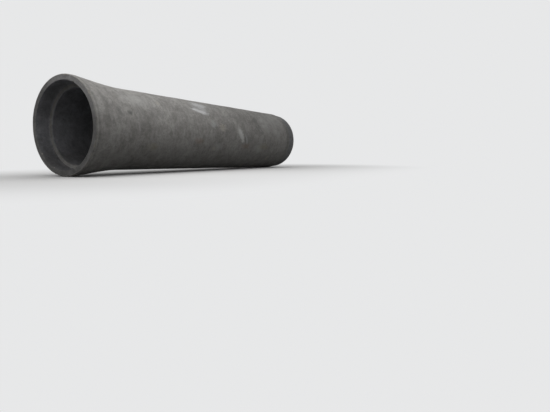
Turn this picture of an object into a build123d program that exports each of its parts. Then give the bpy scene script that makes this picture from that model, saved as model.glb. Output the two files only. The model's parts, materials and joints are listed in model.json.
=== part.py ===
from build123d import *
import math
import os

# Socket-jointed concrete pipe, cast in one piece, lying on level ground.
# Stations are counted along the pipe's axis from the bell's face, and radii from the axis.
# The axis runs towards +Y and dips a little, because the bell is wider than the barrel.
# The origin is on the ground under the pipe's middle, and Z is up.

# Barrel
bore_diameter = 1000.0
wall_thickness = 75.0
laying_length = 5000.0

# Spigot, which enters the next pipe's socket up to its shoulder
spigot_wall = 52.0
spigot_clear_length = 20.0
bead_height = 5.0
bead_length = 30.0
bead_ramp = 9.0
spigot_end_chamfer = 6.0
bore_end_chamfer = 9.0
barrel_end_bevel = 20.0
barrel_end_round = 12.0
seat_fillet = 8.0

# Socket inside the bell, wider than the spigot by the gap that the rubber ring fills
ring_gap = 13.0
socket_depth = 190.0
mouth_flare = 8.0
lead_in_length = 50.0
lead_in_blend = 120.0
mouth_bevel = 6.0
shoulder_corner = 12.0
bore_edge_bevel = 9.0

# Outside of the bell, from its rim down the long flare to the barrel
bell_wall = 85.0
band_length = 70.0
flare_angle = 7.5
rim_round = 16.0
band_blend = 450.0
flare_blend = 3900.0

# Radii of each surface
bore_radius = bore_diameter / 2
barrel_radius = bore_radius + wall_thickness
ring_seat_radius = bore_radius + spigot_wall
bead_radius = ring_seat_radius + bead_height
seal_radius = ring_seat_radius + ring_gap
mouth_radius = seal_radius + mouth_flare
bell_radius = seal_radius + bell_wall

# Stations of each corner
total_length = laying_length + socket_depth
flare_end = band_length + (bell_radius - barrel_radius) / math.tan(math.radians(flare_angle))
seat_start = total_length - socket_depth - spigot_clear_length
barrel_end = seat_start - barrel_end_bevel
bead_start = total_length - bead_length
mouth_bevel_end = mouth_radius - mouth_flare * mouth_bevel / lead_in_length

# The pipe touches the ground where the band starts to bend into the flare,
# and at the far edge of the barrel, and the dip brings both down to it.
band_contact = band_length - band_blend * math.tan(math.radians(flare_angle / 2))
dip = math.atan2(bell_radius - barrel_radius, barrel_end - band_contact)
bell_height = bell_radius * math.cos(dip) + band_contact * math.sin(dip)
bell_centre = Vector(0, -total_length / 2 * math.cos(dip), bell_height)
axis_direction = Vector(0, math.cos(dip), -math.sin(dip))

# Corners of the wall's section, each with its station, its radius and its rounding
rim_and_flare = [
    (0, bell_radius, rim_round),
    (band_length, bell_radius, band_blend),
    (flare_end, barrel_radius, flare_blend),
]
barrel_and_spigot = [
    (barrel_end, barrel_radius, barrel_end_round),
    (seat_start, ring_seat_radius, seat_fillet),
    (bead_start - bead_ramp, ring_seat_radius, 0),
    (bead_start, bead_radius, 0),
    (total_length - spigot_end_chamfer, bead_radius, 0),
    (total_length, bead_radius - spigot_end_chamfer, 0),
]
bore_wall = [
    (total_length, bore_radius + bore_end_chamfer, 0),
    (total_length - bore_end_chamfer, bore_radius, 0),
    (socket_depth + bore_edge_bevel, bore_radius, 0),
]
socket_wall = [
    (socket_depth, bore_radius + bore_edge_bevel, 0),
    (socket_depth, seal_radius - shoulder_corner, 0),
    (socket_depth - shoulder_corner, seal_radius, 0),
    (lead_in_length, seal_radius, lead_in_blend),
    (mouth_bevel, mouth_bevel_end, 0),
    (0, mouth_bevel_end + mouth_bevel, 0),
]
section_corners = rim_and_flare + barrel_and_spigot + bore_wall + socket_wall

# The section lies in the upright plane through the axis, with its first direction along it
section_plane = Plane(origin=bell_centre, x_dir=axis_direction, z_dir=(1, 0, 0))

with BuildPart() as pipe:
    with BuildSketch(section_plane) as wall_section:
        with BuildLine() as wall_outline:
            FilletPolyline(
                *[(station, radius) for station, radius, rounding in section_corners],
                radius=[rounding for station, radius, rounding in section_corners],
                close=True,
            )
        make_face()
    revolve(axis=Axis(bell_centre, axis_direction))

pipe.part.label = "pipe"

os.makedirs("parts", exist_ok=True)
export_step(pipe.part, "parts/pipe.step")

print(f"Total length {total_length:.0f}, bell {2 * bell_radius:.0f}, barrel {2 * barrel_radius:.0f}")
print(f"Axis dips {math.degrees(dip):.3f} degrees from a bell centre at {bell_centre}")
print(f"Volume {pipe.part.volume / 1e9:.4f} cubic metres")
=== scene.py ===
"""Looks of a socket-jointed concrete pipe that lies on a plain studio floor.

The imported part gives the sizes. The pipe's wall is rebuilt as one closed surface with rounded and
chipped edges, spalls and casting seams, and it is dressed in weathered concrete. All lengths are in
metres. Stations are counted along the pipe's axis from the bell's face, radii from the axis, and
angles around it from the top towards +X.
"""
import sys

import json
import logging
import math
from dataclasses import dataclass, field
from enum import Enum

import bpy
import numpy as np
from mathutils import Euler, Matrix, Vector

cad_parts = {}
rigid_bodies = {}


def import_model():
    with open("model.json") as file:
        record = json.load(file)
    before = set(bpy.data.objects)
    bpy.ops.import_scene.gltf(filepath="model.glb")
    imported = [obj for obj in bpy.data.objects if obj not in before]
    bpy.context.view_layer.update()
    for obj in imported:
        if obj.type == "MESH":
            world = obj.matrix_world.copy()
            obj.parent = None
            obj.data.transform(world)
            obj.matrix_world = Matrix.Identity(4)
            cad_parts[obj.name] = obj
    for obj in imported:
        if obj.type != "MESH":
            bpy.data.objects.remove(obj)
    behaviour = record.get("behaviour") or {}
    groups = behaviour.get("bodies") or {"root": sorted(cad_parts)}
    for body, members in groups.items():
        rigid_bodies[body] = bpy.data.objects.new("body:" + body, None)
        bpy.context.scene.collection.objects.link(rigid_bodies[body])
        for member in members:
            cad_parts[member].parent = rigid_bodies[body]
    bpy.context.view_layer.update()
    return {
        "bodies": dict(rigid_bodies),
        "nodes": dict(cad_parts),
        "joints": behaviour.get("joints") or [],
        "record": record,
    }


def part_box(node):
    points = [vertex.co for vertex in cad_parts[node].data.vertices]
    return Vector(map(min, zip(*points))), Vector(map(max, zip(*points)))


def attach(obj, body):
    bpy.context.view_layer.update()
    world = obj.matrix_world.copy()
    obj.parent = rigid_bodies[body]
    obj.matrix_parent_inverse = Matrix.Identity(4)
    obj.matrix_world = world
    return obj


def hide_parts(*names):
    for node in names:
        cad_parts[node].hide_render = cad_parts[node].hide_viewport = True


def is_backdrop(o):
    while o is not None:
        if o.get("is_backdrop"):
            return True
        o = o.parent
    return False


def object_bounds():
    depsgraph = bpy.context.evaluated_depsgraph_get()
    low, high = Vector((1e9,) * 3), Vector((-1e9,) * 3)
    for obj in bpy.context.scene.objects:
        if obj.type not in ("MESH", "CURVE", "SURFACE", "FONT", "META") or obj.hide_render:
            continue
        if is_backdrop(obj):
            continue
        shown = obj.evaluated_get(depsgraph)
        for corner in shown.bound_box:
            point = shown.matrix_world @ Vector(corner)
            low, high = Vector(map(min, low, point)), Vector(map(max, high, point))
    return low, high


PIECE = "concrete_pipe"
PIPE_NODE = "pipe"
PIPE_BODY = "root"
MILLIMETRE = 0.001
LOG = logging.getLogger(PIECE)

Socket = bpy.types.NodeSocket
Colour = tuple[float, float, float]
Triple = tuple[float, float, float]
Span = tuple[float, float]
Band = tuple[float, float, float, float]
UNTINTED: Colour = (1.0, 1.0, 1.0)


def new_object(name: str, data: bpy.types.ID) -> bpy.types.Object:
    """Makes an object and puts it into the scene.

    Args:
        name: the object's name.
        data: its mesh, lamp or camera.

    Returns:
        The object.
    """
    made = bpy.data.objects.new(name, data)
    bpy.context.scene.collection.objects.link(made)
    return made


def wrap_angle(angle: np.ndarray) -> np.ndarray:
    """The same directions, as angles between half a turn back and half a turn on."""
    return (angle + math.pi) % (2 * math.pi) - math.pi


@dataclass(frozen=True)
class PipeAxis:
    """Straight axis of the pipe, which dips a little towards the spigot because the bell is wider."""

    origin: Vector
    along: Vector
    length: float

    @classmethod
    def from_mounts(cls, mounts: dict[str, dict]) -> "PipeAxis":
        """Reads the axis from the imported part's mounts.

        Args:
            mounts: the record's mounts by name; the socket lies on the axis, the faces bound it.

        Returns:
            The axis, with its origin in the plane of the bell's face.
        """
        along = Vector(mounts["spigot_face"]["axis"]).normalized()
        on_axis = Vector(mounts["socket"]["pos_m"])
        start = (Vector(mounts["bell_face"]["pos_m"]) - on_axis).dot(along)
        end = (Vector(mounts["spigot_face"]["pos_m"]) - on_axis).dot(along)
        return cls(on_axis + along * start, along, end - start)

    @property
    def dip(self) -> float:
        """Angle below level, in radians."""
        return math.atan2(-self.along.z, self.along.y)

    @property
    def side(self) -> Vector:
        """Level direction across the pipe, towards +X."""
        return Vector((1.0, 0.0, 0.0))

    @property
    def up(self) -> Vector:
        """Direction from the axis to the pipe's top."""
        return self.side.cross(self.along)

    def points(self, station: np.ndarray, radius: np.ndarray, angle: np.ndarray) -> np.ndarray:
        """Turns cylinder coordinates into points: origin + station along + radius (cos up + sin side).

        Args:
            station: distances along the axis.
            radius: distances from the axis.
            angle: angles around the axis, in radians.

        Returns:
            One row of three coordinates for each point.
        """
        up, side = np.array(self.up), np.array(self.side)
        outward = np.cos(angle)[:, None] * up + np.sin(angle)[:, None] * side
        return np.array(self.origin) + station[:, None] * np.array(self.along) + radius[:, None] * outward


class Zone(Enum):
    """Stretches of the wall's surface, each with the columns around it and the spacing of its rings."""

    RIM = (512, 0.008)
    FLARE = (256, 0.026)
    BARREL = (256, 0.044)
    SPIGOT = (256, 0.014)
    SPIGOT_END = (512, 0.007)
    BORE = (128, 0.080)
    SOCKET = (256, 0.016)

    def __init__(self, columns: int, spacing: float) -> None:
        """Keeps how many vertices go round a ring, and how far apart the rings of a straight run are."""
        self.columns = columns
        self.spacing = spacing


@dataclass(frozen=True)
class Corner:
    """A corner of the wall's section, and the zone of the run that follows it."""

    station: float
    radius: float
    rounding: float
    zone: Zone


@dataclass
class Rings:
    """The wall's section as a closed row of rings, as arrays with one value for each ring."""

    station: np.ndarray
    radius: np.ndarray
    normal: np.ndarray
    columns: np.ndarray
    on_edge: np.ndarray


@dataclass
class WallSection:
    """Closed section of the pipe's wall, from its corners.

    Each corner is an arc that meets both its runs at a tangent. Between two arcs the rings stand at
    even distances, with a guard ring close to each arc, so that smooth shading stays on the arc.
    """

    corners: list[Corner]
    guard: float = 0.003
    arc_step: float = math.radians(18)
    edge_rounding: float = 0.02

    def rings(self) -> Rings:
        """Samples the whole section.

        Returns:
            The rings in order: out along the outside, over the spigot's face, back through the bore
            and the socket, and over the bell's face. No ring has under half its neighbour's columns.
        """
        place = np.array([(c.station, c.radius) for c in self.corners])
        run = np.roll(place, -1, axis=0) - place
        heading = np.arctan2(run[:, 1], run[:, 0])
        turn = wrap_angle(heading - np.roll(heading, 1))
        rounding = np.array([c.rounding for c in self.corners])
        cut = rounding * np.tan(np.abs(turn) / 2)
        parts = []
        for i, corner in enumerate(self.corners):
            before = self.corners[i - 1].zone
            finer = max(before, corner.zone, key=lambda zone: zone.columns)
            parts.append(self._arc(place[i], heading[i - 1], turn[i], cut[i], corner.rounding, finer))
            free = np.hypot(*run[i]) - cut[i] - cut[(i + 1) % len(cut)]
            parts.append(self._run(place[i], heading[i], cut[i], free, corner.zone))
        columns = np.concatenate([np.full(len(p[1]), p[2].columns) for p in parts])
        beside = np.maximum(np.roll(columns, 1), np.roll(columns, -1))
        return Rings(
            station=np.concatenate([p[0][:, 0] for p in parts]),
            radius=np.concatenate([p[0][:, 1] for p in parts]),
            normal=np.concatenate([self._normals(p[1]) for p in parts]),
            columns=np.maximum(columns, beside // 2),
            on_edge=np.concatenate([np.full(len(p[1]), p[3]) for p in parts]),
        )

    def _arc(self, corner: np.ndarray, heading: float, turn: float, cut: float, rounding: float,
             zone: Zone) -> tuple[np.ndarray, np.ndarray, Zone, float]:
        """Rings on one rounded corner: centre + rounding (sin, -cos) of a heading that turns evenly.

        Args:
            corner: station and radius of the sharp corner.
            heading: direction of the run before it, in the section's plane.
            turn: signed change of heading at the corner.
            cut: length that the arc takes off each run.
            rounding: the arc's radius.
            zone: the finer of the two zones that meet here.

        Returns:
            Places and headings of the rings, their zone, and 1 if the corner is an edge that wears.
        """
        steps = max(2, math.ceil(abs(turn) / self.arc_step), math.ceil(rounding * abs(turn) / zone.spacing))
        start = corner - cut * np.array([math.cos(heading), math.sin(heading)])
        headings = heading + turn * np.linspace(0, 1, steps + 1)
        bend = math.copysign(rounding, turn)
        centre = start + bend * np.array([-math.sin(heading), math.cos(heading)])
        places = centre + bend * np.stack([np.sin(headings), -np.cos(headings)], axis=1)
        return places, headings, zone, float(rounding < self.edge_rounding)

    def _run(self, corner: np.ndarray, heading: float, cut: float, free: float,
             zone: Zone) -> tuple[np.ndarray, np.ndarray, Zone, float]:
        """Rings on one straight run, between the ends of its arcs.

        Args:
            corner: station and radius of the corner where the run starts.
            heading: direction of the run in the section's plane.
            cut: length that the first arc takes off the run.
            free: length between the two arcs.
            zone: the run's zone.

        Returns:
            Places and headings of the rings, their zone, and 0 because a run doesn't wear.
        """
        inner = free - 2 * self.guard
        count = max(1, round(inner / zone.spacing)) + 1
        offsets = self.guard + inner * np.linspace(0, 1, count) if inner > self.guard else np.empty(0)
        direction = np.array([math.cos(heading), math.sin(heading)])
        places = corner + (cut + offsets)[:, None] * direction
        return places, np.full(len(offsets), heading), zone, 0.0

    @staticmethod
    def _normals(headings: np.ndarray) -> np.ndarray:
        """Outward directions, a quarter turn to the left of the headings."""
        return np.stack([-np.sin(headings), np.cos(headings)], axis=1)


@dataclass(frozen=True)
class Ripples:
    """Seamless unevenness in space, a seeded sum of plane waves.

    The value at p is sqrt(2 / n) times the sum over n waves of cos(k . p + phase). The directions are
    spread over the sphere, and the wavelengths evenly in the logarithm. Its spread is about 1.
    """

    seed: int
    shortest: float
    longest: float
    waves: int = 40

    def at(self, points: np.ndarray) -> np.ndarray:
        """Values at some points.

        Args:
            points: one row of three coordinates for each point.

        Returns:
            One value for each point.
        """
        random = np.random.default_rng(self.seed)
        direction = random.normal(size=(self.waves, 3))
        direction /= np.linalg.norm(direction, axis=1, keepdims=True)
        share = random.uniform(size=self.waves)
        length = self.shortest * (self.longest / self.shortest) ** share
        phase = random.uniform(0, 2 * math.pi, self.waves)
        waves = np.cos(points @ (2 * math.pi * direction / length[:, None]).T + phase)
        return math.sqrt(2 / self.waves) * waves.sum(axis=1)


@dataclass(frozen=True)
class Spall:
    """A piece of concrete that has broken out, off an edge or out of a flat stretch.

    Its floor lies depth (1 - t^2 - w^2) below the corner or surface that it starts from, where t and w
    are the distances around the pipe and across the spall, in half lengths and half widths. The floor
    is rough by about the raggedness times the depth.
    """

    station: float
    radius: float
    angle: float
    lean: float
    half_length: float
    half_width: float
    depth: float
    raggedness: float = 0.35

    def carve(self, station: np.ndarray, radius: np.ndarray, angle: np.ndarray,
              rough: np.ndarray) -> np.ndarray:
        """How far each vertex goes in, against the spall's outward direction.

        Args:
            station: stations of the vertices.
            radius: radii of the vertices.
            angle: angles of the vertices.
            rough: unevenness of the broken floor, about -1 to 1.

        Returns:
            Distances, 0 outside the spall.
        """
        outward = np.array([math.cos(self.lean), math.sin(self.lean)])
        offset = np.stack([station - self.station, radius - self.radius], axis=1)
        along_edge = wrap_angle(angle - self.angle) * self.radius / self.half_length
        across = offset @ np.array([-outward[1], outward[0]]) / self.half_width
        bowl = 1 - along_edge**2 - across**2
        floor = -self.depth * (bowl + self.raggedness * rough)
        near = (bowl > -1) & (np.abs(offset @ outward) < self.half_width + self.depth)
        return np.where(near, np.maximum(offset @ outward - floor, 0), 0)


@dataclass(frozen=True)
class ChippedEdge:
    """An edge that is chipped all round.

    The corner is its place in the section's row of corners. The lean is the direction from the wall
    out over the edge, in degrees in the section's plane. Sizes are half lengths of the chips.
    """

    name: str
    corner: int
    chips: int
    lean: float
    sizes: Span


@dataclass
class SpallMaker:
    """Chooses the spalls at random, from one seed. Widths and depths are shares of the half length."""

    seed: int
    chip_widths: Span = (0.5, 0.8)
    chip_depths: Span = (0.16, 0.32)
    chip_power: float = 0.45
    spall_widths: Span = (0.6, 1.3)
    spall_depths: Span = (0.05, 0.09)
    spalls: list[Spall] = field(default_factory=list)

    def __post_init__(self) -> None:
        """Starts the row of random draws."""
        self.random = np.random.default_rng(self.seed)

    def along_edge(self, edge: ChippedEdge, corner: Corner) -> None:
        """Adds the chips of one edge.

        Args:
            edge: the edge and its chips.
            corner: the edge's corner in the wall's section.
        """
        smallest, largest = edge.sizes
        for _ in range(edge.chips):
            half_length = smallest + (largest - smallest) * self.random.power(self.chip_power)
            depth = half_length * self.random.uniform(*self.chip_depths)
            angle = self.random.uniform(0, 2 * math.pi)
            half_width = half_length * self.random.uniform(*self.chip_widths)
            self.spalls.append(Spall(corner.station, corner.radius, angle, math.radians(edge.lean),
                                     half_length, half_width, depth))

    def over_surface(self, count: int, stations: Span, radius: float, sizes: Span) -> None:
        """Adds shallow spalls on the outside.

        Args:
            count: how many spalls.
            stations: first and last station between which they lie.
            radius: the surface's radius.
            sizes: smallest and largest half length.
        """
        for _ in range(count):
            half_length = self.random.uniform(*sizes)
            station = self.random.uniform(*stations)
            angle = self.random.uniform(0, 2 * math.pi)
            half_width = half_length * self.random.uniform(*self.spall_widths)
            depth = half_length * self.random.uniform(*self.spall_depths)
            self.spalls.append(Spall(station, radius, angle, math.pi / 2, half_length, half_width, depth))


@dataclass
class ConcretePipe:
    """The pipe's wall as one closed surface, with its unevenness, seams and chipped edges.

    The fields are its sizes, the roundings of its corners, its relief, and its chips and spalls.
    """

    axis: PipeAxis
    bell_radius: float
    barrel_radius: float
    bead_radius: float
    bore_radius: float
    seal_radius: float
    spigot_wall: float = 0.052
    band_length: float = 0.070
    flare_angle: float = math.radians(7.5)
    spigot_length: float = 0.210
    shoulder_length: float = 0.020
    bead_length: float = 0.030
    bead_ramp: float = 0.009
    end_bevel: float = 0.006
    bore_bevel: float = 0.009
    socket_depth: float = 0.190
    lead_in: float = 0.050
    mouth_flare: float = 0.008
    shoulder_corner: float = 0.012

    rim_round: float = 0.016
    band_blend: float = 0.450
    flare_blend: float = 3.900
    barrel_round: float = 0.012
    seat_fillet: float = 0.008
    ramp_fillet: float = 0.010
    bead_round: float = 0.006
    bore_round: float = 0.006
    socket_fillet: float = 0.007
    lead_in_blend: float = 0.120
    edge_round: float = 0.005

    seam_angles: tuple[float, ...] = (math.radians(-28), math.radians(152))
    seam_height: float = 0.0016
    seam_width: float = 0.0035
    seam_crowd: float = 7.0
    seam_reach: float = 0.02
    seam_ripples: Span = (0.15, 1.2)
    undulation: float = 0.0012
    slow_ripples: Span = (0.35, 1.8)
    quick_ripples: Span = (0.09, 0.3)
    quick_share: float = 0.35
    end_share: float = 0.6

    chipped_edges: tuple[ChippedEdge, ...] = (
        ChippedEdge("bell's rim", corner=0, chips=24, lean=135, sizes=(0.012, 0.058)),
        ChippedEdge("mouth", corner=-1, chips=10, lean=-135, sizes=(0.010, 0.028)),
        ChippedEdge("barrel's end", corner=3, chips=9, lean=60, sizes=(0.012, 0.034)),
        ChippedEdge("spigot's nose", corner=8, chips=22, lean=45, sizes=(0.012, 0.055)),
        ChippedEdge("bore's end", corner=9, chips=9, lean=-45, sizes=(0.010, 0.026)),
    )
    surface_spalls: int = 9
    spall_stations: Span = (1.0, 4.7)
    spall_sizes: Span = (0.030, 0.080)
    spall_ripples: Span = (0.018, 0.07)
    broken_depth: float = 0.002
    inside_gain: float = 1.6
    seed: int = 11

    @property
    def step(self) -> float:
        """Station where the ring seat starts, behind the step at the barrel's end."""
        return self.axis.length - self.spigot_length

    def corners(self) -> list[Corner]:
        """Corners of the wall's section, in order around it.

        Returns:
            The outside from the bell's rim to the spigot, the bore, and the socket.
        """
        seat = self.bore_radius + self.spigot_wall
        end = self.axis.length
        flare_end = self.band_length + (self.bell_radius - self.barrel_radius) / math.tan(self.flare_angle)
        bead_start = end - self.bead_length
        mouth = self.seal_radius + self.mouth_flare * (1 - self.end_bevel / self.lead_in)
        return [
            Corner(0, self.bell_radius, self.rim_round, Zone.RIM),
            Corner(self.band_length, self.bell_radius, self.band_blend, Zone.FLARE),
            Corner(flare_end, self.barrel_radius, self.flare_blend, Zone.BARREL),
            Corner(self.step - self.shoulder_length, self.barrel_radius, self.barrel_round, Zone.SPIGOT),
            Corner(self.step, seat, self.seat_fillet, Zone.SPIGOT),
            Corner(bead_start - self.bead_ramp, seat, self.ramp_fillet, Zone.SPIGOT_END),
            Corner(bead_start, self.bead_radius, self.bead_round, Zone.SPIGOT_END),
            Corner(end - self.end_bevel, self.bead_radius, self.edge_round, Zone.SPIGOT_END),
            Corner(end, self.bead_radius - self.end_bevel, self.edge_round, Zone.SPIGOT_END),
            Corner(end, self.bore_radius + self.bore_bevel, self.edge_round, Zone.SPIGOT_END),
            Corner(end - self.bore_bevel, self.bore_radius, self.bore_round, Zone.BORE),
            Corner(self.socket_depth + self.bore_bevel, self.bore_radius, self.bore_round, Zone.SOCKET),
            Corner(self.socket_depth, self.bore_radius + self.bore_bevel, self.edge_round, Zone.SOCKET),
            Corner(self.socket_depth, self.seal_radius - self.shoulder_corner, self.socket_fillet,
                   Zone.SOCKET),
            Corner(self.socket_depth - self.shoulder_corner, self.seal_radius, self.socket_fillet,
                   Zone.SOCKET),
            Corner(self.lead_in, self.seal_radius, self.lead_in_blend, Zone.RIM),
            Corner(self.end_bevel, mouth, self.edge_round, Zone.RIM),
            Corner(0, mouth + self.end_bevel, self.edge_round, Zone.RIM),
        ]

    def column_angles(self) -> np.ndarray:
        """Angles of the finest ring's vertices, packed closer where the casting seams run.

        The share of columns up to an angle is the running sum of 1 + crowd exp(-(distance / reach)^2).

        Returns:
            The angles, in radians, from the pipe's underside.
        """
        finest = max(zone.columns for zone in Zone)
        samples = 20001
        angle = np.linspace(-math.pi, math.pi, samples)
        density = np.ones_like(angle)
        for seam in self.seam_angles:
            density += self.seam_crowd * np.exp(-((wrap_angle(angle - seam) / self.seam_reach) ** 2))
        share = np.concatenate([[0], np.cumsum((density[1:] + density[:-1]) / 2)])
        return np.interp(np.arange(finest) / finest, share / share[-1], angle)

    @staticmethod
    def faces(columns: np.ndarray) -> tuple[np.ndarray, np.ndarray]:
        """Joins each ring to the next, and the last to the first.

        Rings with as many columns are joined by quads. Where the count halves or doubles, each coarse
        edge gets a fan of three triangles, so the surface stays closed.

        Args:
            columns: the count of columns of each ring.

        Returns:
            The quads and the triangles, as rows of vertex numbers.
        """
        start = np.concatenate([[0], np.cumsum(columns)[:-1]])
        quads, triangles = [], []
        for ring, after in zip(range(len(columns)), np.roll(range(len(columns)), -1)):
            count, next_count = columns[ring], columns[after]
            i, j = np.arange(count), np.arange(next_count)
            if count == next_count:
                this, that = start[ring], start[after]
                beside = (i + 1) % count
                quads.append(np.stack([this + i, this + beside, that + beside, that + i], 1))
                continue
            fine, coarse = (ring, after) if count > next_count else (after, ring)
            k = j if count > next_count else i
            edge = start[coarse] + k, start[coarse] + (k + 1) % columns[coarse]
            fan = [start[fine] + (2 * k + step) % columns[fine] for step in range(3)]
            strips = [(edge[0], fan[0], fan[1]), (edge[0], fan[1], edge[1]), (edge[1], fan[1], fan[2])]
            flip = slice(None) if count > next_count else slice(None, None, -1)
            triangles += [np.stack(strip[flip], 1) for strip in strips]
        return np.concatenate(quads), np.concatenate(triangles)

    def seams(self, station: np.ndarray, angle: np.ndarray) -> np.ndarray:
        """Fins that the joints of the casting form left along the outside.

        The height is exp(-(arc distance / width)^2), thinned out along the pipe by slow ripples.

        Args:
            station: stations of the vertices.
            angle: angles of the vertices.

        Returns:
            The fin's height at each vertex.
        """
        usual, swing, least = 0.75, 0.4, 0.15
        height = np.zeros_like(station)
        strength = Ripples(self.seed + 5, *self.seam_ripples, waves=24)
        for number, seam in enumerate(self.seam_angles):
            place = np.stack([station, np.full_like(station, number), np.zeros_like(station)], axis=1)
            presence = np.clip(usual + swing * strength.at(place), least, 1)
            distance = wrap_angle(angle - seam) * self.barrel_radius
            height += presence * np.exp(-((distance / self.seam_width) ** 2))
        return self.seam_height * height

    def relief(self, station: np.ndarray, angle: np.ndarray, normal: np.ndarray,
               points: np.ndarray) -> np.ndarray:
        """Unevenness of the cast surface: slow ripples, a share of quick ones, and the seams.

        Near the pipe's ends it only goes inwards, so that the pipe keeps its length and its width.

        Args:
            station: stations of the vertices.
            angle: angles of the vertices.
            normal: outward directions in the section's plane.
            points: the vertices.

        Returns:
            How far each vertex goes out.
        """
        relief = self.undulation * Ripples(self.seed, *self.slow_ripples).at(points)
        relief += self.quick_share * self.undulation * Ripples(self.seed + 1, *self.quick_ripples).at(points)
        faces_out = 0.3
        has_seams = (normal[:, 1] > faces_out) & (station < self.step)
        relief += np.where(has_seams, self.seams(station, angle), 0)
        last = self.axis.length - self.bead_length / 2
        near_end = (station < 2 * self.band_length) | (station > last)
        return np.where(near_end, np.minimum(relief, 0) * self.end_share, relief)

    def spalls(self) -> list[Spall]:
        """Chips on every edge and a few shallow spalls on the barrel.

        Returns:
            The spalls, the same ones on every run.
        """
        corners = self.corners()
        maker = SpallMaker(self.seed)
        for edge in self.chipped_edges:
            maker.along_edge(edge, corners[edge.corner])
            LOG.info("%s: %d chips", edge.name, edge.chips)
        maker.over_surface(self.surface_spalls, self.spall_stations, self.barrel_radius, self.spall_sizes)
        return maker.spalls

    def break_out(self, station: np.ndarray, radius: np.ndarray, angle: np.ndarray,
                  points: np.ndarray) -> tuple[np.ndarray, np.ndarray, np.ndarray]:
        """Carves the spalls, one after another.

        Args:
            station: stations of the vertices.
            radius: radii of the vertices.
            angle: angles of the vertices.
            points: the vertices on the sound surface, for the roughness of the broken floors.

        Returns:
            The new stations and radii, and the deepest cut at each vertex.
        """
        rough = Ripples(self.seed + 2, *self.spall_ripples).at(points)
        removed = np.zeros_like(station)
        for spall in self.spalls():
            depth = spall.carve(station, radius, angle, rough)
            station = station - depth * math.cos(spall.lean)
            radius = radius - depth * math.sin(spall.lean)
            removed = np.maximum(removed, depth)
        return station, radius, removed

    def build(self, lowest: Vector, highest: Vector) -> bpy.types.Object:
        """Makes the pipe's mesh.

        Args:
            lowest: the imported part's lowest corner.
            highest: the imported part's highest corner.

        Returns:
            The object, with its place in its mesh.
        """
        rings = WallSection(self.corners()).rings()
        finest = self.column_angles()
        angle = np.concatenate([finest[::len(finest) // count] for count in rings.columns])
        ring = np.repeat(np.arange(len(rings.columns)), rings.columns)
        station, radius, normal = rings.station[ring], rings.radius[ring], rings.normal[ring]
        nominal = self.axis.points(station, radius, angle)
        relief = self.relief(station, angle, normal, nominal)
        station = station + relief * normal[:, 0]
        radius = radius + relief * normal[:, 1]
        station, radius, removed = self.break_out(station, radius, angle, nominal)
        points = np.clip(self.axis.points(station, radius, angle), np.array(lowest), np.array(highest))
        shares = {
            "broken": np.clip(removed / self.broken_depth, 0, 1),
            "edge": rings.on_edge[ring],
            "inside": np.clip(-self.inside_gain * normal[:, 1], 0, 1),
        }
        return self.surface(points, rings.columns, shares)

    def surface(self, points: np.ndarray, columns: np.ndarray,
                shares: dict[str, np.ndarray]) -> bpy.types.Object:
        """Puts the wall into a mesh.

        Args:
            points: the vertices, ring after ring.
            columns: the count of columns of each ring.
            shares: what the finish reads at each vertex, by name.

        Returns:
            The object.
        """
        quads, triangles = self.faces(columns)
        mesh = bpy.data.meshes.new(PIPE_NODE)
        mesh.from_pydata(points, [], quads.tolist() + triangles.tolist())
        mesh.shade_smooth()
        for name, values in shares.items():
            attribute = mesh.attributes.new(name, "FLOAT", "POINT")
            attribute.data.foreach_set("value", values.astype(np.float32))
        mesh.validate()
        pipe = new_object(PIECE, mesh)
        LOG.info("pipe: %d vertices, %d triangles", len(points), 2 * len(quads) + len(triangles))
        return pipe


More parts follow.
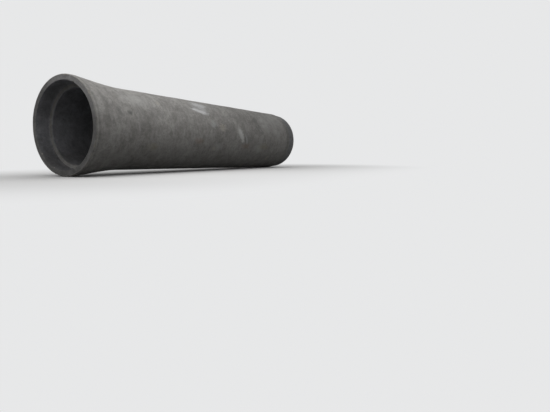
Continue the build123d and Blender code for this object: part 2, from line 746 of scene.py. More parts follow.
class NodeGraph:
    """Writes shader nodes. Each method gives the socket of its result, but node and vector the node."""

    def __init__(self, owner: bpy.types.Material | bpy.types.World) -> None:
        """Empties the node tree.

        Args:
            owner: the material or the world that has the tree.
        """
        owner.use_nodes = True
        self.tree = owner.node_tree
        self.tree.nodes.clear()

    def node(self, kind: str, inputs: dict[str | int, object] | None = None,
             **settings: object) -> bpy.types.Node:
        """Adds one node.

        Args:
            kind: Blender's name of the node's type.
            inputs: sockets or plain values for its inputs, by name or number.
            settings: the node's own settings.

        Returns:
            The node.
        """
        made = self.tree.nodes.new(kind)
        for name, value in settings.items():
            setattr(made, name, value)
        for name, value in (inputs or {}).items():
            if isinstance(value, Socket):
                self.tree.links.new(value, made.inputs[name])
            else:
                made.inputs[name].default_value = value
        return made

    def math(self, operation: str, *values: Socket | float) -> Socket:
        """One step of arithmetic on numbers."""
        return self.node("ShaderNodeMath", dict(enumerate(values)), operation=operation).outputs[0]

    def product(self, first: Socket | float, *others: Socket | float) -> Socket:
        """The product of some numbers.

        Args:
            first: the first number.
            others: the numbers that it is multiplied by.

        Returns:
            The product.
        """
        total = first
        for value in others:
            total = self.math("MULTIPLY", total, value)
        return total

    def vector(self, operation: str, *values: Socket | tuple) -> bpy.types.Node:
        """One step of arithmetic on vectors."""
        return self.node("ShaderNodeVectorMath", dict(enumerate(values)), operation=operation)

    def length(self, vector: Socket) -> Socket:
        """The vector's length."""
        return self.vector("LENGTH", vector).outputs["Value"]

    def split(self, vector: Socket) -> list[Socket]:
        """The vector's three coordinates."""
        return list(self.node("ShaderNodeSeparateXYZ", {0: vector}).outputs)

    def frame(self, vector: Socket, location: Vector, turn: Euler, size: Triple) -> Socket:
        """Coordinates in a frame with this location, turn and size."""
        inputs = {"Vector": vector, "Location": location, "Rotation": turn, "Scale": size}
        return self.node("ShaderNodeMapping", inputs, vector_type="TEXTURE").outputs[0]

    def attribute(self, name: str) -> Socket:
        """A share that the mesh keeps for each vertex."""
        return self.node("ShaderNodeAttribute", attribute_name=name).outputs["Fac"]

    def bend(self, vector: Socket, size: float, amount: float) -> Socket:
        """Moves the vector about by noise.

        Args:
            vector: coordinates in metres.
            size: size of the noise's clouds.
            amount: about how far it moves each way.

        Returns:
            The moved vector.
        """
        clouds = self.node("ShaderNodeTexNoise", {"Vector": vector, "Scale": 1 / size, "Detail": 2.0})
        centred = self.vector("SUBTRACT", clouds.outputs["Color"], (0.5, 0.5, 0.5)).outputs[0]
        moved = self.node("ShaderNodeVectorMath", {0: centred, "Scale": 2 * amount}, operation="SCALE")
        return self.vector("ADD", vector, moved.outputs[0]).outputs[0]

    def ramp(self, value: Socket, low: float, high: float, at_low: float = 0.0,
             at_high: float = 1.0) -> Socket:
        """A smooth step from at_low at low to at_high at high."""
        inputs = {"Value": value, "From Min": low, "From Max": high, "To Min": at_low, "To Max": at_high}
        return self.node("ShaderNodeMapRange", inputs, interpolation_type="SMOOTHSTEP").outputs[0]

    def band(self, value: Socket, start: float, full: float, fading: float, end: float) -> Socket:
        """1 from full to fading, with smooth steps to 0 at the start and the end."""
        return self.product(self.ramp(value, start, full), self.ramp(value, end, fading))

    def mix(self, share: Socket | float, first: Socket | Colour, second: Socket | Colour) -> Socket:
        """Mixes two colours.

        Args:
            share: how much of the second colour.
            first: the first colour.
            second: the second colour.

        Returns:
            The mixed colour.
        """
        values = [c if isinstance(c, Socket) else (*c, 1.0) for c in (first, second)]
        # For colours, a mix node has its inputs 6 and 7 and its output 2.
        inputs = {0: share, 6: values[0], 7: values[1]}
        return self.node("ShaderNodeMix", inputs, data_type="RGBA").outputs[2]

    def shade(self, colour: Socket, factor: Socket) -> Socket:
        """The colour times a factor."""
        return self.vector("MULTIPLY", colour, factor).outputs[0]

    def tint(self, colour: Socket, share: Socket, tint: Colour) -> Socket:
        """The colour times a tint, where the share is 1; its texture stays."""
        return self.shade(colour, self.mix(share, UNTINTED, tint))

    def cells(self, vector: Socket, size: float) -> tuple[Socket, list[Socket]]:
        """Distance to the nearest centre of cells of this size, and three random numbers of its cell."""
        cells = self.node("ShaderNodeTexVoronoi", {"Vector": vector, "Scale": 1 / size}).outputs
        return cells["Distance"], list(self.node("ShaderNodeSeparateColor", {0: cells["Color"]}).outputs)


class SkinGraph(NodeGraph):
    """Nodes of the pipe's skin, with what they start from.

    The place is across, along and up from the bell's centre, in metres. Inside is 1 in the bore and
    the socket, broken is 1 where the concrete has broken out, and edge is 1 on a rounded edge.
    """

    def __init__(self, material: bpy.types.Material, axis: PipeAxis) -> None:
        """Reads the coordinates and the shares that the mesh keeps.

        Args:
            material: the skin's material.
            axis: the pipe's axis.
        """
        super().__init__(material)
        raw = self.node("ShaderNodeTexCoord").outputs["Object"]
        self.place = self.frame(raw, axis.origin, Euler((-axis.dip, 0, 0)), (1, 1, 1))
        self.inside, self.broken, self.edge = map(self.attribute, ("inside", "broken", "edge"))


@dataclass(frozen=True)
class NoiseLayer:
    """Cloudy noise, and a smooth step over it from at_low, up to low, to at_high, from high on.

    The size is that of the largest clouds, in metres, and the stretch is how much longer they are
    along each axis. Detail is how many finer layers they have, roughness how strong those are, and
    distortion how much the clouds are bent.
    """

    size: float
    low: float = 0.0
    high: float = 1.0
    at_low: float = 0.0
    at_high: float = 1.0
    detail: float = 3.0
    roughness: float = 0.55
    stretch: Triple = (1, 1, 1)
    distortion: float = 0.0

    def noise(self, skin: SkinGraph) -> Socket:
        """The noise itself, from 0 to 1.

        Args:
            skin: the pipe's skin.

        Returns:
            The noise.
        """
        scaled = skin.vector("MULTIPLY", skin.place, tuple(1 / s for s in self.stretch)).outputs[0]
        inputs = {"Vector": scaled, "Scale": 1 / self.size, "Detail": self.detail,
                  "Roughness": self.roughness, "Distortion": self.distortion}
        return skin.node("ShaderNodeTexNoise", inputs).outputs[0]

    def centred(self, skin: SkinGraph) -> Socket:
        """The noise itself, from -0.5 to 0.5."""
        return skin.math("SUBTRACT", self.noise(skin), 0.5)

    def value(self, skin: SkinGraph) -> Socket:
        """The step over the noise."""
        return skin.ramp(self.noise(skin), self.low, self.high, self.at_low, self.at_high)


@dataclass(frozen=True)
class Cement:
    """Colour of the sound surface: clouds, blotches, flecks, bands, runs, a bloom of lime, and sand."""

    dark: Colour = (0.230, 0.222, 0.211)
    pale: Colour = (0.308, 0.300, 0.286)
    lime: Colour = (0.50, 0.50, 0.49)
    clouds: NoiseLayer = NoiseLayer(0.55, 0.3, 0.7, detail=8, roughness=0.66)
    blotches: NoiseLayer = NoiseLayer(0.13, 0.3, 0.7, 0.82, 1.17, detail=6, roughness=0.68, distortion=0.4)
    flecks: NoiseLayer = NoiseLayer(0.045, 0.34, 0.66, 0.85, 1.15, detail=6, roughness=0.75, distortion=0.6)
    bands: NoiseLayer = NoiseLayer(0.09, 0.25, 0.75, 0.955, 1.04, detail=2, stretch=(14, 1, 14))
    runs: NoiseLayer = NoiseLayer(0.035, 0.52, 0.78, 1.0, 0.87, roughness=0.6, stretch=(4, 1, 16),
                                  distortion=0.25)
    lime_streaks: NoiseLayer = NoiseLayer(0.06, 0.55, 0.75, detail=4, roughness=0.6, stretch=(3, 1, 9))
    lime_patches: NoiseLayer = NoiseLayer(0.9, 0.5, 0.68, detail=2)
    lime_strength: float = 0.3
    sand: NoiseLayer = NoiseLayer(0.009, 0.28, 0.72, 0.86, 1.14, detail=4, roughness=0.75)

    def colour(self, skin: SkinGraph) -> Socket:
        """Mixes the dark and the pale cement, and lays the other layers over them.

        Args:
            skin: the pipe's skin.

        Returns:
            The colour.
        """
        colour = skin.mix(self.clouds.value(skin), self.dark, self.pale)
        for layer in (self.blotches, self.flecks, self.bands, self.runs):
            colour = skin.shade(colour, layer.value(skin))
        streaks, patches = self.lime_streaks.value(skin), self.lime_patches.value(skin)
        colour = skin.mix(skin.product(streaks, patches, self.lime_strength), colour, self.lime)
        return skin.shade(colour, self.sand.value(skin))


class MarkKind(Enum):
    """Kinds of mark on the outside, two of them with painted light: colour, strength, and how streaky the
    mark is.
    """

    LIME_RUN = ((0.60, 0.60, 0.605), 0.95, 0.48)
    LIME_HAZE = ((0.52, 0.52, 0.525), 0.85, 0.9)
    LIME_FLECK = ((0.42, 0.42, 0.42), 0.70, 0.9)
    # Pale bloom; the one on the barrel's far part also holds a painted sheen.
    PALE_BLOOM_AND_SHEEN = ((0.38, 0.378, 0.37), 0.30, 0.8)
    PALE_PATCH = ((0.40, 0.396, 0.385), 0.42, 0.8)
    SCUFF = ((0.56, 0.56, 0.545), 0.90, 0.8)
    DARK_SPOT = ((0.12, 0.12, 0.115), 0.80, 0.8)
    # Damp blotches; the one at the barrel's far end is painted shade.
    DAMP_BLOTCH_AND_SHADE = ((0.15, 0.148, 0.142), 0.58, 1.1)
    DAMP_CLOUD = ((0.17, 0.168, 0.162), 0.24, 0.9)
    RUST = ((0.25, 0.185, 0.15), 0.35, 0.9)
    OCHRE = ((0.26, 0.24, 0.17), 0.35, 0.9)

    def __init__(self, colour: Colour, strength: float, raggedness: float) -> None:
        """Keeps what makes the kind.

        Args:
            colour: the stain's colour.
            strength: how much of the concrete's colour it covers.
            raggedness: how far noise eats into it.
        """
        self.colour = colour
        self.strength = strength
        self.raggedness = raggedness


@dataclass(frozen=True)
class Mark:
    """One mark: where it lies, its half sizes along and around the pipe, and its slant in degrees."""

    kind: MarkKind
    station: float
    angle: float
    half_along: float
    half_around: float
    slant: float = 0.0

    def local(self, skin: SkinGraph, radius: float, half_depth: float) -> Socket:
        """Coordinates in the stain's own frame, with its half sizes as units.

        Args:
            skin: the pipe's skin.
            radius: radius of the surface where it lies.
            half_depth: its half size into the wall.

        Returns:
            The coordinates.
        """
        turn = math.radians(self.angle)
        centre = Vector((math.sin(turn) * radius, self.station, math.cos(turn) * radius))
        frame = Matrix.Rotation(turn, 3, "Y") @ Matrix.Rotation(math.radians(self.slant), 3, "Z")
        size = (self.half_around, self.half_along, half_depth)
        return skin.frame(skin.place, centre, frame.to_euler("XYZ"), size)


MARKS = (
    # Partly a pale bloom, partly a painted sheen of sky light over the top of the barrel's far part.
    Mark(MarkKind.PALE_BLOOM_AND_SHEEN, 4.50, 52, 0.50, 0.32),
    Mark(MarkKind.PALE_BLOOM_AND_SHEEN, 0.85, 48, 0.40, 0.16),
    Mark(MarkKind.PALE_BLOOM_AND_SHEEN, 4.06, 60, 0.28, 0.20),
    Mark(MarkKind.PALE_PATCH, 3.99, 54, 0.12, 0.07),
    Mark(MarkKind.PALE_PATCH, 4.02, 66, 0.12, 0.05),
    Mark(MarkKind.PALE_PATCH, 4.42, 77, 0.20, 0.10),
    Mark(MarkKind.PALE_PATCH, 3.76, 111, 0.16, 0.11),
    Mark(MarkKind.PALE_PATCH, 3.84, 115, 0.13, 0.08),
    Mark(MarkKind.PALE_PATCH, 4.12, 74, 0.09, 0.10),
    Mark(MarkKind.PALE_PATCH, 2.55, 110, 0.16, 0.09),
    Mark(MarkKind.LIME_RUN, 2.20, 51.8, 0.24, 0.064, -11),
    Mark(MarkKind.LIME_RUN, 2.06, 49.0, 0.13, 0.038, -8),
    Mark(MarkKind.LIME_HAZE, 2.26, 37, 0.26, 0.12, -4),
    Mark(MarkKind.LIME_FLECK, 2.22, 45, 0.22, 0.07, -8),
    Mark(MarkKind.LIME_FLECK, 2.40, 73, 0.11, 0.085),
    Mark(MarkKind.LIME_FLECK, 3.34, 95, 0.04, 0.11, 20),
    Mark(MarkKind.SCUFF, 3.14, 83, 0.095, 0.12, 32),
    Mark(MarkKind.SCUFF, 3.20, 93, 0.072, 0.15, 34),
    Mark(MarkKind.DARK_SPOT, 0.61, 71, 0.065, 0.038),
    Mark(MarkKind.DAMP_BLOTCH_AND_SHADE, 0.43, 72, 0.10, 0.10),
    Mark(MarkKind.DAMP_BLOTCH_AND_SHADE, 3.79, 71, 0.15, 0.09),
    Mark(MarkKind.DAMP_BLOTCH_AND_SHADE, 3.75, 58, 0.14, 0.09),
    Mark(MarkKind.DAMP_BLOTCH_AND_SHADE, 3.88, 80, 0.09, 0.06),
    # Painted shade: darkens the barrel's rounded far end, where it turns away from the light.
    Mark(MarkKind.DAMP_BLOTCH_AND_SHADE, 4.93, 74, 0.12, 0.18),
    Mark(MarkKind.DAMP_CLOUD, 1.12, 66, 0.16, 0.10),
    Mark(MarkKind.DAMP_CLOUD, 2.90, 88, 0.30, 0.20),
    Mark(MarkKind.DAMP_CLOUD, 3.42, 90, 0.18, 0.18),
    Mark(MarkKind.DAMP_CLOUD, 4.13, 110, 0.14, 0.10),
    Mark(MarkKind.DAMP_CLOUD, 3.52, 96, 0.13, 0.10),
    Mark(MarkKind.DAMP_CLOUD, 3.48, 124, 0.14, 0.09),
    Mark(MarkKind.DAMP_CLOUD, 4.66, 116, 0.16, 0.11),
    Mark(MarkKind.DAMP_CLOUD, 4.80, 110, 0.32, 0.36),
    Mark(MarkKind.RUST, 3.35, 108, 0.22, 0.08),
    Mark(MarkKind.RUST, 2.02, 103, 0.15, 0.07),
    Mark(MarkKind.OCHRE, 3.97, 107, 0.25, 0.09),
    Mark(MarkKind.OCHRE, 1.04, 115, 0.14, 0.08),
)


@dataclass(frozen=True)
class StainsAndPaintedLight:
    """The single marks on the outside, laid over the colour in their order.

    Most are stain marks; one also holds a painted sheen, and one is painted shade. A mark's share is 1
    at its middle and falls to 0 at its border, with noise taken off, which is drawn out along the pipe.
    """

    marks: tuple[Mark, ...] = MARKS
    half_depth: float = 0.12
    bite: float = 2.6
    border: float = 0.75
    reach: Span = (1.6, 1.0)
    ragged: NoiseLayer = NoiseLayer(0.05, detail=7, roughness=0.74, stretch=(1, 1.7, 1), distortion=0.3)

    def add(self, skin: SkinGraph, colour: Socket, radius: float) -> Socket:
        """Adds the marks.

        Args:
            skin: the pipe's skin.
            colour: the colour so far.
            radius: radius of the barrel.

        Returns:
            The colour with the marks.
        """
        ragged = self.ragged.centred(skin)
        for mark in self.marks:
            far = skin.length(mark.local(skin, radius, self.half_depth))
            eaten = skin.product(ragged, self.bite * mark.kind.raggedness)
            share = skin.math("ADD", skin.math("SUBTRACT", 1.0, far), eaten)
            share = skin.product(skin.ramp(share, 0.0, self.border), skin.ramp(far, *self.reach))
            colour = skin.mix(skin.product(share, mark.kind.strength), colour, mark.kind.colour)
        return colour


@dataclass(frozen=True)
class PaintedLightAndDirt:
    """Tints over the concrete's own colour that follow the pipe's shape: painted shade, a painted highlight,
    soiling and darker tones.

    Spans are stations, heights or distances to the side, in metres, and a share grows from 0 at the
    first to 1 at the second. The spigot's and the step's are counted from the step at the barrel's
    end, and those of the lowest part inside are heights in radii.
    """

    # Painted shade: the bell's face darker and bluer, as it lies in bluish shade.
    face_shade_tint: Colour = (0.77, 0.785, 0.815)
    face_shade_share: float = 0.80
    # Darker and bluer over the spigot.
    spigot_tint: Colour = (0.70, 0.73, 0.78)
    # Painted shade: the bore and the socket a little darker and bluer, the colour of bluish shade.
    bore_shade_tint: Colour = (0.93, 0.965, 1.08)
    # Painted highlight: the upper part of the bell's face, towards +X, made almost twice as light.
    face_highlight_tint: Colour = (1.85, 1.85, 1.87)
    # Darker towards the bottom of the bell's face and the socket.
    low_tint: Colour = (0.76, 0.76, 0.755)
    # Darker along the lowest part of the bore and the socket, with a ragged border.
    invert_tint: Colour = (0.50, 0.49, 0.475)
    # Soiling and painted shade: a darker ring behind the bell's rim and a patchy darker band up to the step
    # at the barrel's end.
    grime_and_shade_tint: Colour = (0.74, 0.74, 0.74)
    face: Span = (0.014, 0.002)
    spigot: Span = (-0.002, 0.006)
    socket: Span = (0.23, 0.17)
    highlight_heights: Span = (0.0, 0.50)
    highlight_sides: Span = (-0.45, 0.05)
    low_heights: Span = (0.35, -0.35)
    invert_heights: Span = (-0.15, -0.85)
    invert_ragged: NoiseLayer = NoiseLayer(0.16, detail=4, stretch=(1, 3, 1))
    invert_bite: float = 0.5
    rim_line: Band = (0.026, 0.038, 0.050, 0.064)
    rim_line_share: float = 0.6
    step_line: Band = (-0.170, -0.080, 0.006, 0.030)
    step_patches: NoiseLayer = NoiseLayer(0.16, 0.36, 0.56, 0.35, 1.0, detail=5, roughness=0.65)

    def add(self, skin: SkinGraph, colour: Socket, step: float) -> Socket:
        """Paints shade and a highlight on the face, shade inside, darker tones, and rings of soiling and
        shade.

        Args:
            skin: the pipe's skin.
            colour: the colour so far.
            step: station of the step at the barrel's end.

        Returns:
            The colour with the dirt.
        """
        side, station, height = skin.split(skin.place)
        past_step = skin.math("SUBTRACT", station, step)
        outside = skin.math("SUBTRACT", 1.0, skin.inside)
        face = skin.ramp(station, *self.face)
        spigot = skin.product(skin.ramp(past_step, *self.spigot), outside)
        socket = skin.product(skin.inside, skin.ramp(station, *self.socket))
        # Painted highlight: where the bell's face is lighter, upwards and towards +X.
        highlight_part = skin.product(skin.ramp(height, *self.highlight_heights), skin.ramp(side, *self.highlight_sides))
        low = skin.product(skin.ramp(height, *self.low_heights), skin.math("MAXIMUM", face, socket))
        # Soiling and painted shade: rings behind the rim and before the step.
        rim_line = skin.product(skin.band(station, *self.rim_line), self.rim_line_share)
        patches = self.step_patches.value(skin)
        step_line = skin.product(skin.band(past_step, *self.step_line), patches)
        grime_and_shade = skin.product(skin.math("MAXIMUM", rim_line, step_line), outside)
        tints = (
            # Painted shade on the bell's face.
            (skin.product(face, self.face_shade_share), self.face_shade_tint),
            (spigot, self.spigot_tint),
            # Painted bluish shade inside.
            (skin.inside, self.bore_shade_tint),
            # Painted highlight on the upper part of the bell's face.
            (skin.product(face, highlight_part), self.face_highlight_tint),
            (low, self.low_tint),
            (skin.product(self.silt(skin, height), skin.inside), self.invert_tint),
            (grime_and_shade, self.grime_and_shade_tint),
        )
        for share, tint in tints:
            colour = skin.tint(colour, share, tint)
        return colour

    def silt(self, skin: SkinGraph, height: Socket) -> Socket:
        """1 along the lowest part of the wall, with a ragged border.

        Args:
            skin: the pipe's skin.
            height: height over the axis.

        Returns:
            The share: a step of height / radius, with noise added that is drawn out along the pipe.
        """
        radius = skin.length(skin.vector("MULTIPLY", skin.place, (1, 0, 1)).outputs[0])
        ragged = skin.product(self.invert_ragged.centred(skin), self.invert_bite)
        ratio = skin.math("ADD", skin.math("DIVIDE", height, radius), ragged)
        return skin.ramp(ratio, *self.invert_heights)


@dataclass(frozen=True)
class Gravel:
    """Small stones that show where the cement skin has weathered away."""

    size: float = 0.012
    bend: float = 0.003
    bare: NoiseLayer = NoiseLayer(0.30, 0.49, 0.66, detail=6, roughness=0.7)
    border: Span = (0.50, 0.34)
    drawn: Span = (0.35, 0.45)
    tones: Span = (0.72, 1.30)
    strength: float = 0.75

    def add(self, skin: SkinGraph, colour: Socket) -> tuple[Socket, Socket]:
        """Adds the stones.

        Args:
            skin: the pipe's skin.
            colour: the colour so far.

        Returns:
            The colour with the stones, and 1 on a stone that shows.
        """
        distance, draws = skin.cells(skin.bend(skin.place, self.size, self.bend), self.size)
        shown = skin.product(skin.ramp(distance, *self.border), self.bare.value(skin),
                             skin.ramp(draws[0], *self.drawn))
        stones = skin.shade(colour, skin.ramp(draws[2], 0.0, 1.0, *self.tones))
        return skin.mix(skin.product(shown, self.strength), colour, stones), shown


@dataclass(frozen=True)
class AirHoles:
    """Roundish holes that trapped air left, in cells of which a share holds one each.

    The border and the clouds that bend the holes are given in radii of the largest hole.
    """

    cell: float
    share: float
    radius: float
    strength: float = 1.0
    border: float = 0.35
    clouds: float = 1.5

    def depth(self, skin: SkinGraph) -> Socket:
        """How deep the surface lies in a hole.

        Args:
            skin: the pipe's skin.

        Returns:
            The strength inside a hole, and 0 outside.
        """
        largest = self.radius / self.cell
        bent = skin.bend(skin.place, self.clouds * self.radius, self.border * self.radius)
        distance, draws = skin.cells(bent, self.cell)
        reach = skin.ramp(draws[0], 1 - self.share, 1.0, 0.0, largest)
        beyond = skin.math("SUBTRACT", distance, reach)
        return skin.product(skin.ramp(beyond, 0.0, -self.border * largest), self.strength)


@dataclass(frozen=True)
class BrokenConcrete:
    """Cement and stones that show where a piece has broken out and, without stones, on worn edges."""

    cement: Colour = (0.36, 0.34, 0.305)
    stone_dark: Colour = (0.17, 0.155, 0.14)
    stone_pale: Colour = (0.45, 0.43, 0.39)
    stone_size: float = 0.017
    stone_border: Span = (0.42, 0.34)
    worn: NoiseLayer = NoiseLayer(0.05, 0.34, 0.58, detail=4)
    worn_strength: float = 0.5
    worn_inside: float = 0.25

    def add(self, skin: SkinGraph, colour: Socket) -> tuple[Socket, Socket]:
        """Adds the broken places and the edges, which are less worn inside the pipe.

        Args:
            skin: the pipe's skin.
            colour: the colour so far.

        Returns:
            The colour with both, and 1 on a stone in a broken place.
        """
        distance, draws = skin.cells(skin.place, self.stone_size)
        shown = skin.ramp(distance, *self.stone_border)
        stones = skin.mix(draws[1], self.stone_dark, self.stone_pale)
        colour = skin.mix(skin.broken, colour, skin.mix(shown, self.cement, stones))
        worn = skin.product(skin.edge, self.worn.value(skin), self.worn_strength,
                            skin.ramp(skin.inside, 0.0, 1.0, 1.0, self.worn_inside))
        return skin.mix(worn, colour, self.cement), skin.product(skin.broken, shown)


@dataclass(frozen=True)
class WeatheredConcrete:
    """Weathered cast concrete: cement, stain marks, soiling, gravel, air holes, broken edges, painted light.
    """

    name: str = "weathered_concrete"
    cement: Cement = Cement()
    stains_and_painted_light: StainsAndPaintedLight = StainsAndPaintedLight()
    painted_light_and_dirt: PaintedLightAndDirt = PaintedLightAndDirt()
    gravel: Gravel = Gravel()
    broken: BrokenConcrete = BrokenConcrete()
    air_holes: tuple[AirHoles, ...] = (
        AirHoles(0.022, 0.30, 0.0050),
        AirHoles(0.070, 0.16, 0.0095),
        AirHoles(0.009, 0.45, 0.0021, strength=0.6),
    )
    # Painted shade: air holes are darkened in the colour, besides their sunken bump.
    hole_shade: float = 0.42
    gloss: NoiseLayer = NoiseLayer(0.2, 0.3, 0.7, 0.85, 0.95)
    lumps: NoiseLayer = NoiseLayer(0.10, detail=5, roughness=0.6)
    sand: NoiseLayer = NoiseLayer(0.012, detail=4, roughness=0.75)
    crumbs: NoiseLayer = NoiseLayer(0.022, detail=4, roughness=0.65)

    def make(self, axis: PipeAxis, barrel_radius: float, step: float) -> bpy.types.Material:
        """Builds the material.

        Args:
            axis: the pipe's axis.
            barrel_radius: radius of the barrel's outside, where the marks lie.
            step: station of the step at the barrel's end.

        Returns:
            The material.
        """
        material = bpy.data.materials.new(self.name)
        skin = SkinGraph(material, axis)
        sound = self.cement.colour(skin)
        colour = skin.mix(skin.inside, self.stains_and_painted_light.add(skin, sound, barrel_radius), sound)
        colour = self.painted_light_and_dirt.add(skin, colour, step)
        colour, stones = self.gravel.add(skin, colour)
        holes = 0.0
        for kind in self.air_holes:
            holes = skin.math("MAXIMUM", holes, kind.depth(skin))
        # Painted shade in the air holes.
        colour = skin.shade(colour, skin.ramp(holes, 0.0, 1.0, 1.0, self.hole_shade))
        colour, broken_stones = self.broken.add(skin, colour)

        height = self.height(skin, holes, stones, broken_stones)
        bump = skin.node("ShaderNodeBump", {"Height": height, "Strength": 1.0, "Distance": 1.0}).outputs[0]
        gloss = self.gloss.value(skin)
        inputs = {"Base Color": colour, "Roughness": gloss, "Normal": bump}
        shader = skin.node("ShaderNodeBsdfPrincipled", inputs)
        skin.node("ShaderNodeOutputMaterial", {"Surface": shader.outputs[0]})
        return material

    def height(self, skin: SkinGraph, holes: Socket, stones: Socket, broken_stones: Socket) -> Socket:
        """Fine relief, in metres: lumps, sand, stones, crumbled edges and air holes.

        Args:
            skin: the pipe's skin.
            holes: 1 in an air hole.
            stones: 1 on a stone that shows in the worn skin.
            broken_stones: 1 on a stone in a place where the concrete has broken out.

        Returns:
            The sum of each kind's share times its height.
        """
        layers = (
            (self.lumps.noise(skin), 3.0),
            (self.sand.noise(skin), 0.9),
            (stones, 0.5),
            (broken_stones, 1.8),
            (skin.product(skin.edge, self.crumbs.noise(skin)), 3.0),
            (holes, -2.0),
        )
        height = 0.0
        for layer, millimetres in layers:
            height = skin.math("ADD", height, skin.product(layer, millimetres * MILLIMETRE))
        return height


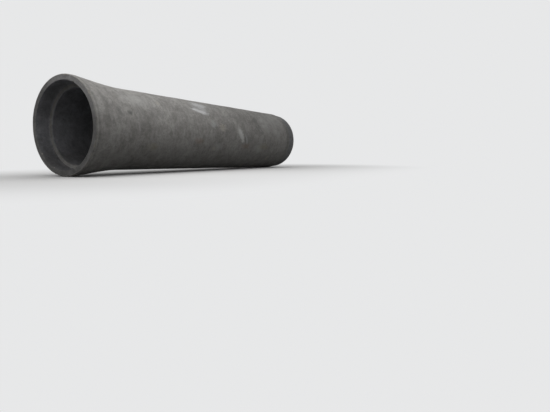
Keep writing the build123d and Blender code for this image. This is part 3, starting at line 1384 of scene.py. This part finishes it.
@dataclass(frozen=True)
class Studio:
    """Plain pale floor and surroundings, soft overhead light, and the camera."""

    backdrop: Colour = (0.80, 0.805, 0.81)
    floor_colour: Colour = (0.95, 0.95, 0.945)
    floor_bounce: Colour = (0.10, 0.10, 0.10)
    floor_half_size: float = 80.0
    floor_drop: float = 0.0005
    fade_start: float = 0.3
    fade_end: float = 3.6
    pipe_half_length: float = 2.6
    fill_level: float = 0.35
    fill_above: float = 0.613
    key_power: float = 18.8
    key_size: float = 3.0
    key_place: Triple = (1.0, -1.6, 2.4)
    key_aim: Triple = (0.2, -1.2, 0.8)
    camera_place: Triple = (5.3684, -6.4037, 0.2958)
    camera_pitch: float = math.radians(-6.452)
    camera_yaw: float = math.radians(30.438)
    camera_roll: float = math.radians(-0.109)
    focal_length: float = 30.47
    sensor_width: float = 36.0

    @staticmethod
    def camera_rays(graph: NodeGraph) -> Socket:
        """Finds the rays that show the surroundings themselves: seen, mirrored or through glass.

        Args:
            graph: where the nodes go.

        Returns:
            1 for such a ray.
        """
        rays = graph.node("ShaderNodeLightPath").outputs
        seen = graph.math("MAXIMUM", rays["Is Camera Ray"], rays["Is Glossy Ray"])
        return graph.math("MAXIMUM", seen, rays["Is Transmission Ray"])

    def surroundings(self) -> None:
        """Soft fill light that grows from the horizon to the zenith, shown as a pale backdrop.

        Its strength is level + (above - level) times the height of the direction.
        """
        world = bpy.data.worlds.new("surroundings")
        bpy.context.scene.world = world
        graph = NodeGraph(world)
        direction = graph.node("ShaderNodeTexCoord").outputs["Generated"]
        height = graph.math("MAXIMUM", graph.split(direction)[2], 0.0)
        rise = graph.product(height, self.fill_above - self.fill_level)
        strength = graph.math("ADD", rise, self.fill_level)
        light = graph.node("ShaderNodeBackground", {"Color": (1, 1, 1, 1), "Strength": strength}).outputs[0]
        shown = graph.node("ShaderNodeBackground", {"Color": (*self.backdrop, 1), "Strength": 1.0}).outputs[0]
        mixed = graph.node("ShaderNodeMixShader", {0: self.camera_rays(graph), 1: light, 2: shown}).outputs[0]
        graph.node("ShaderNodeOutputWorld", {"Surface": mixed})

    def floor(self) -> bpy.types.Object:
        """A wide floor that takes the pipe's shadow and fades into the backdrop.

        It fades with the distance from a straight line under the pipe: the length of
        (x, |y| - half the pipe), with what is below 0 left out.

        Returns:
            The floor.
        """
        half = self.floor_half_size
        corners = [(-half, -half), (half, -half), (half, half), (-half, half)]
        mesh = bpy.data.meshes.new("floor")
        mesh.from_pydata([(x, y, -self.floor_drop) for x, y in corners], [], [(0, 1, 2, 3)])
        floor = new_object("floor", mesh)
        material = bpy.data.materials.new("pale_floor")
        graph = NodeGraph(material)
        place = graph.node("ShaderNodeTexCoord").outputs["Object"]
        folded = graph.vector("ABSOLUTE", place).outputs[0]
        beyond = graph.vector("SUBTRACT", folded, (0, self.pipe_half_length, 0)).outputs[0]
        beyond = graph.vector("MAXIMUM", beyond, (0, 0, 0)).outputs[0]
        fade = graph.ramp(graph.length(beyond), self.fade_start, self.fade_end)
        matt = graph.node("ShaderNodeBsdfDiffuse", {"Color": (*self.floor_colour, 1)}).outputs[0]
        glow = graph.node("ShaderNodeEmission", {"Color": (*self.backdrop, 1), "Strength": 1.0}).outputs[0]
        bounce = graph.node("ShaderNodeBsdfDiffuse", {"Color": (*self.floor_bounce, 1)}).outputs[0]
        shown = graph.node("ShaderNodeMixShader", {0: fade, 1: matt, 2: glow}).outputs[0]
        inputs = {0: self.camera_rays(graph), 1: bounce, 2: shown}
        mixed = graph.node("ShaderNodeMixShader", inputs).outputs[0]
        graph.node("ShaderNodeOutputMaterial", {"Surface": mixed})
        mesh.materials.append(material)
        floor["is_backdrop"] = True
        return floor

    def key_light(self) -> bpy.types.Object:
        """A large soft box above the bell's half of the pipe, which the camera doesn't see.

        Returns:
            The lamp.
        """
        data = bpy.data.lights.new("softbox", "AREA")
        data.shape = "DISK"
        data.size = self.key_size
        data.energy = self.key_power
        lamp = new_object("softbox", data)
        lamp.location = self.key_place
        aim = Vector(self.key_aim) - Vector(self.key_place)
        lamp.rotation_euler = aim.to_track_quat("-Z", "Y").to_euler()
        lamp.visible_camera = False
        return lamp

    def camera(self) -> bpy.types.Object:
        """The camera, level with the pipe's lower half, ahead of the bell and to its side.

        Returns:
            The camera.
        """
        data = bpy.data.cameras.new("camera")
        data.lens = self.focal_length
        data.sensor_width = self.sensor_width
        data.clip_end = 4 * self.floor_half_size
        camera = new_object("camera", data)
        yaw = Matrix.Rotation(self.camera_yaw, 3, "Z")
        pitch = Matrix.Rotation(math.pi / 2 + self.camera_pitch, 3, "X")
        roll = Matrix.Rotation(self.camera_roll, 3, "Z")
        camera.rotation_euler = (yaw @ pitch @ roll).to_euler("XYZ")
        camera.location = self.camera_place
        bpy.context.scene.camera = camera
        return camera

    def build(self) -> None:
        """Sets the stage."""
        bpy.context.scene.view_settings.view_transform = "Standard"
        self.surroundings()
        self.floor()
        self.key_light()
        self.camera()
        LOG.info("studio: floor, backdrop, softbox and camera")


def main() -> None:
    logging.basicConfig(level=logging.INFO, format="%(name)s %(message)s", stream=sys.stdout)
    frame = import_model()
    mounts = {mount["name"]: mount for mount in frame["record"]["mounts"]}
    axis = PipeAxis.from_mounts(mounts)
    round_mounts = ("barrel", "spigot", "waterway", "socket")
    radii = [mounts[name]["dims"]["r_mm"] * MILLIMETRE for name in round_mounts]
    lowest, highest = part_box(PIPE_NODE)
    LOG.info("axis: %.3f m long, dips %.3f degrees", axis.length, math.degrees(axis.dip))

    Studio().build()
    maker = ConcretePipe(axis, (highest.x - lowest.x) / 2, *radii)
    pipe = maker.build(lowest, highest)
    pipe.data.materials.append(WeatheredConcrete().make(axis, maker.barrel_radius, maker.step))
    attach(pipe, PIPE_BODY)
    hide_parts(PIPE_NODE)

    lowest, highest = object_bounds()


if __name__ == "__main__":
    main()
